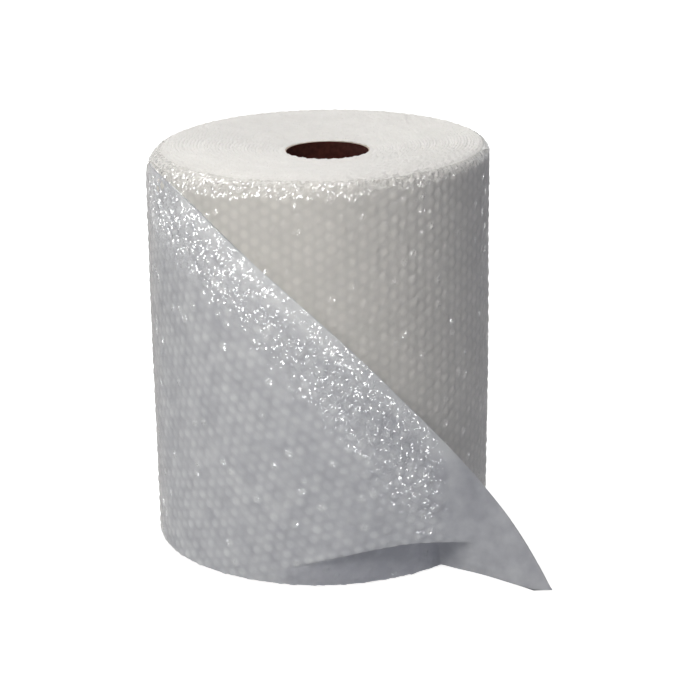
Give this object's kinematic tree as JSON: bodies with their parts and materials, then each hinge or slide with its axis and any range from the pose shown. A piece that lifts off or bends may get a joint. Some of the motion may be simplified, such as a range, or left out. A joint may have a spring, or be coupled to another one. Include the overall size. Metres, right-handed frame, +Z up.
{
  "type": "bubble wrap roll",
  "caption": "Roll of small-bubble cushioning film wound on a cardboard core, standing on its end, with its free end pulled slantwise across the front.",
  "frame": {"origin": "on the core's axis, in the plane that the roll stands on", "axes": "+Z up along the core, -Y towards the front with the free end, +X to the side where its tip lies"},
  "size_m": [0.3584, 0.3298, 0.375],
  "materials": {
    "card": "matt brown wound card",
    "film": "clear glossy film, milky in its many layers"
  },
  "bodies": {
    "root": {"core_tube": "card", "bubble_wrap": "film"}
  },
  "joints": []
}
